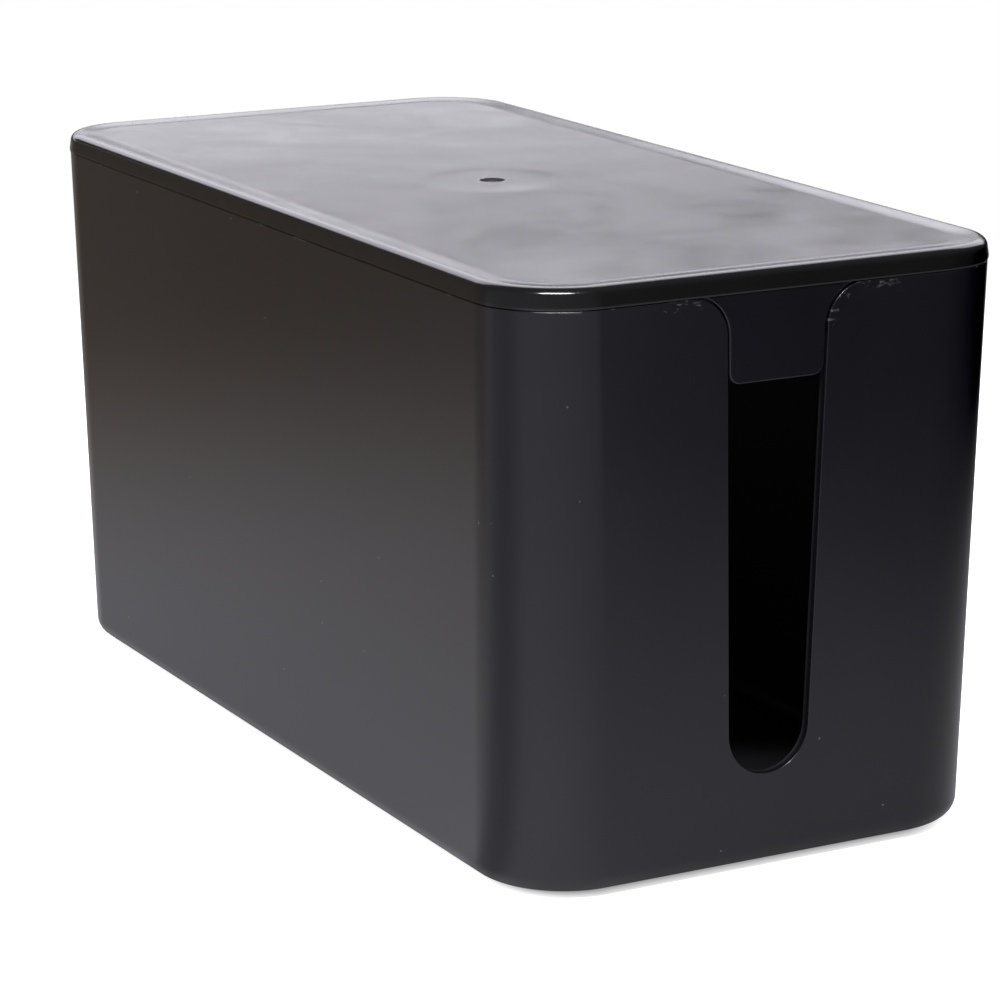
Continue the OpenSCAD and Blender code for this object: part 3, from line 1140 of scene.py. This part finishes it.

# Levels of the glowing floor that the box mirrors: a painted reflection of a lit floor, with
# painted light and shade
BESIDE_BOX = 0.68      # next to it, in the middle
BESIDE_SWING = 0.22    # what is added in front and taken off behind
CORNER_GAIN = 0.14     # the share that is added at the near corner
FAR_FLOOR = 0.10       # far away, in the middle
FAR_SWING = 0.14       # what is added there in front and taken off behind
BEHIND_GAIN = 0.22     # what a far patch behind the box adds
FRONT_GAIN = 0.37      # what a far patch in front of it adds
WEDGE_LOSS = 0.4        # the share that a painted dark wedge in front takes away
CONTACT = 0.05         # the share that is left in the gap under the tub, as painted shade

FRONT_OF_ROOM = 0.1    # what the room's front adds to the level at the horizon
DARKEST_ROOM = 0.02    # no part of the horizon is darker


def add_camera(studio):
    """The camera, which the scene renders with."""
    data = bpy.data.cameras.new("camera")
    data.lens = studio.lens
    camera = add_object("camera", data)
    camera.location = studio.camera_place
    camera.rotation_euler = (studio.camera_tilt, studio.camera_roll, studio.camera_heading)
    bpy.context.scene.camera = camera


def add_lamp(name, azimuth, elevation, distance, width, height, radiance):
    """A rectangular lamp of a given radiance that faces the box from a direction."""
    data = bpy.data.lights.new(name, "AREA")
    data.shape = "RECTANGLE"
    data.size = width
    data.size_y = height
    data.energy = radiance * math.pi * width * height
    data.color = COOL
    lamp = add_object(name, data)
    outward = toward(azimuth, elevation)
    lamp.location = LAMP_AIM + outward * distance
    lamp.rotation_euler = outward.to_track_quat("Z", "Y").to_euler()


def ray_kinds(graph):
    """1 on rays straight from the camera or through clear things, and 1 on mirrored rays."""
    camera_ray = graph.node("ShaderNodeLightPath", output="Is Camera Ray")
    straight = graph.math("MAXIMUM", camera_ray, camera_ray.of("Is Transmission Ray"))
    return straight, camera_ray.of("Is Glossy Ray")


def warm_side(graph, heading):
    """1 far to the left of the box, where the light is warm, and 0 elsewhere."""
    return graph.sector(heading, azimuth=205, spread=22, soft=14)


def mirrored_floor(graph, heading, distance):
    """The colour that the floor glows with for mirrored rays, by direction and distance: a
    painted reflection of a lit floor, which the box mirrors.

    The floor is painted bright next to the box and in a patch in front of it, falls off to the
    sides and behind, has a painted dark wedge in front, and painted shade in the gap under the
    tub's edge."""
    near = BESIDE_BOX + graph.facing(heading, azimuth=288) * BESIDE_SWING
    corner = graph.sector(heading, azimuth=329, spread=25, soft=25)
    near = near * (1.0 + corner * CORNER_GAIN)
    behind = graph.sector(heading, azimuth=158, spread=29, soft=17)
    behind = behind * graph.ramp(distance, 2.0, 1.0)
    front = graph.sector(heading, azimuth=312, spread=75, soft=4)
    far = FAR_FLOOR + graph.facing(heading, azimuth=265) * FAR_SWING
    far = far + behind * BEHIND_GAIN + front * FRONT_GAIN
    away = graph.ramp(distance, 10 * MM, 370 * MM, smooth=True)
    # A painted dark wedge in the mirrored floor, in front of the box
    dark_wedge = graph.sector(heading, azimuth=264, spread=13, soft=13)
    # Painted shade in the gap under the tub's edge
    contact = graph.ramp(distance, -5 * MM, 2 * MM, CONTACT, 1.0, smooth=True)
    level = (near + (far - near) * away) * (1.0 - dark_wedge * WEDGE_LOSS) * contact
    tint = graph.blend(warm_side(graph, heading) * away, COOL, WARM)
    return graph.scaled(tint, level)


def floor_material(tub):
    """White to the camera, with the box's shadow and a painted shadow under and next to its
    edge, and clear from below, so that the underside can be looked at. Reflections see the
    glowing, painted floor of mirrored_floor instead."""
    material = bpy.data.materials.new("studio_floor")
    graph = shader_of(material)
    place = object_place(graph)
    shape = WallShape(tub)
    inset = shape.inset(shape.low, tub.base_corner)
    core = (tub.length / 2 - inset, tub.width / 2 - inset, 0.0)
    outside = graph.beyond(place, core)
    distance = graph.vector("LENGTH", outside) - tub.base_corner
    from_corner = graph.vector("SUBTRACT", place, (core[0], -core[1], 0.0))
    heading = graph.vector("NORMALIZE", from_corner)
    mirrored = graph.node("ShaderNodeEmission", None, {
        "Color": mirrored_floor(graph, heading, distance),
    })

    # Painted shadow: dark under the box, to a little inside its outline and further inside at
    # its sides. It darkens the floor's colour and its glow
    _, sideways, _ = graph.parts(graph.vector("NORMALIZE", outside))
    shade = graph.ramp(distance, -8 * MM, sideways * (-2.6 * MM) - 0.8 * MM, 0.02, 1.0)
    black = graph.node("ShaderNodeBsdfDiffuse", None, {"Color": (0.0, 0.0, 0.0, 1.0)})
    pale = graph.node("ShaderNodeBsdfDiffuse", None, {"Color": (0.8, 0.8, 0.8, 1.0)})
    white = graph.node("ShaderNodeEmission", None, {"Strength": 1.0})
    raised = graph.node("ShaderNodeAddShader", None, {0: pale, 1: white})
    diffuse = graph.mix_shaders(shade, black, pale)
    shaded = graph.mix_shaders(shade, black, raised)
    open_floor = graph.ramp(distance, 0.2, 0.5, smooth=True)
    seen = graph.mix_shaders(open_floor, shaded, white)

    straight, glossy = ray_kinds(graph)
    bounced = graph.mix_shaders(glossy, diffuse, mirrored)
    above = graph.mix_shaders(straight, bounced, seen)
    clear = graph.node("ShaderNodeBsdfTransparent")
    below = graph.node("ShaderNodeNewGeometry", output="Backfacing")
    surface = graph.mix_shaders(below, above, clear)
    graph.node("ShaderNodeOutputMaterial", None, {"Surface": surface})
    return material


def add_floor(studio, tub):
    """A wide flat floor. Its top is the surface that the feet stand on."""
    half = studio.floor / 2
    data = bpy.data.meshes.new("studio_floor")
    corners = [(-half, -half, 0.0), (half, -half, 0.0), (half, half, 0.0), (-half, half, 0.0)]
    data.from_pydata(corners, [], [(0, 1, 2, 3)])
    data.materials.append(floor_material(tub))
    floor = add_object("studio_floor", data)


def add_world(studio):
    """A soft room, white to the camera. It is brighter in front of the box than behind it, and
    has its own level overhead."""
    world = bpy.data.worlds.new("studio_world")
    bpy.context.scene.world = world
    graph = shader_of(world)
    x, y, z = graph.parts(graph.node("ShaderNodeTexCoord", output="Generated"))
    heading = graph.vector("NORMALIZE", graph.combine(x, y, 0.0))
    front = graph.sector(heading, azimuth=313, spread=73, soft=6)
    horizon = studio.room + graph.facing(heading, azimuth=275) * studio.fall
    horizon = graph.math("MAXIMUM", horizon + front * FRONT_OF_ROOM, DARKEST_ROOM)
    height = graph.math("ARCSINE", z)
    overhead = graph.ramp(height, math.radians(3), math.radians(67), smooth=True)
    level = horizon + (studio.zenith - horizon) * overhead
    straight, _ = ray_kinds(graph)
    warmth = warm_side(graph, heading) * graph.ramp(height, 0.6, 0.0)
    tint = graph.blend(straight, graph.blend(warmth, COOL, WARM), WHITE)
    light = graph.math("MAXIMUM", level, straight)
    sky = graph.node("ShaderNodeBackground", None, {"Color": graph.scaled(tint, light)})
    graph.node("ShaderNodeOutputWorld", None, {"Surface": sky})


# ---------------------------------------------------------------- operators

class CABLEBOX_OT_studio(bpy.types.Operator):
    """Adds the camera, the pale floor and the soft lights"""
    bl_idname = "cable_box.studio"
    bl_label = "Studio"

    def execute(self, context):
        studio = context.scene.cable_box_studio
        context.scene.view_settings.view_transform = "Standard"
        add_camera(studio)
        add_floor(studio, context.scene.cable_box_tub)
        add_world(studio)
        add_lamp("back_softbox", azimuth=150, elevation=33.6, distance=1.6,
                 width=2.4, height=1.11, radiance=studio.softbox)
        add_lamp("back_strip", azimuth=170, elevation=9.3, distance=1.6,
                 width=1.8, height=0.12, radiance=studio.strip)
        add_lamp("camera_spot", azimuth=332, elevation=52, distance=1.0,
                 width=0.46, height=0.08, radiance=studio.spot)
        return {"FINISHED"}


class CABLEBOX_OT_tub(bpy.types.Operator):
    """Adds the tub with its cable slots, foot seats and gate mark"""
    bl_idname = "cable_box.tub"
    bl_label = "Tub"

    def execute(self, context):
        scene = context.scene
        tub, lid = scene.cable_box_tub, scene.cable_box_lid
        material = tub_plastic(scene.cable_box_finish, tub, EndSlot(tub, lid))
        piece = make_tub(tub, lid, scene.cable_box_feet)
        piece.data.materials.append(material)
        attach(piece, "tub")
        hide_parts("tub")
        return {"FINISHED"}


class CABLEBOX_OT_lid(bpy.types.Operator):
    """Adds the lid with its lip, tabs, ribs and gate mark"""
    bl_idname = "cable_box.lid"
    bl_label = "Lid"

    def execute(self, context):
        scene = context.scene
        tub, lid = scene.cable_box_tub, scene.cable_box_lid
        piece = make_lid(tub, lid, lid_plastic(scene.cable_box_finish, tub, lid))
        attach(piece, "lid")
        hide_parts("lid")
        return {"FINISHED"}


class CABLEBOX_OT_feet(bpy.types.Operator):
    """Adds the four rubber feet"""
    bl_idname = "cable_box.feet"
    bl_label = "Feet"

    def execute(self, context):
        scene = context.scene
        piece = make_feet(scene.cable_box_feet, foot_rubber(scene.cable_box_finish))
        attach(piece, "tub")
        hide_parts(*FOOT_NODES)
        return {"FINISHED"}


class CABLEBOX_PT_panel(bpy.types.Panel):
    """Lists the operators that add the box and its studio"""
    bl_idname = "CABLEBOX_PT_panel"
    bl_label = "Cable Box"
    bl_space_type = "VIEW_3D"
    bl_region_type = "UI"
    bl_category = "Cable Box"

    def draw(self, context):
        for operator in OPERATORS:
            self.layout.operator(operator.bl_idname)


OPERATORS = (CABLEBOX_OT_studio, CABLEBOX_OT_tub, CABLEBOX_OT_lid, CABLEBOX_OT_feet)
SETTINGS = {
    "cable_box_tub": CableBoxTub,
    "cable_box_lid": CableBoxLid,
    "cable_box_feet": CableBoxFeet,
    "cable_box_finish": CableBoxFinish,
    "cable_box_studio": CableBoxStudio,
}
CLASSES = (*SETTINGS.values(), *OPERATORS, CABLEBOX_PT_panel)


def register():
    """Adds the classes to Blender, and their settings to its scenes."""
    for each in CLASSES:
        bpy.utils.register_class(each)
    for name, group in SETTINGS.items():
        setattr(bpy.types.Scene, name, PointerProperty(type=group))


def unregister():
    """Takes away what register adds."""
    for name in SETTINGS:
        delattr(bpy.types.Scene, name)
    for each in reversed(CLASSES):
        bpy.utils.unregister_class(each)


def main():
    """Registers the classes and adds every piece."""
    register()
    bpy.ops.cable_box.studio()
    bpy.ops.cable_box.tub()
    bpy.ops.cable_box.lid()
    bpy.ops.cable_box.feet()


if __name__ == "__main__":
    main()
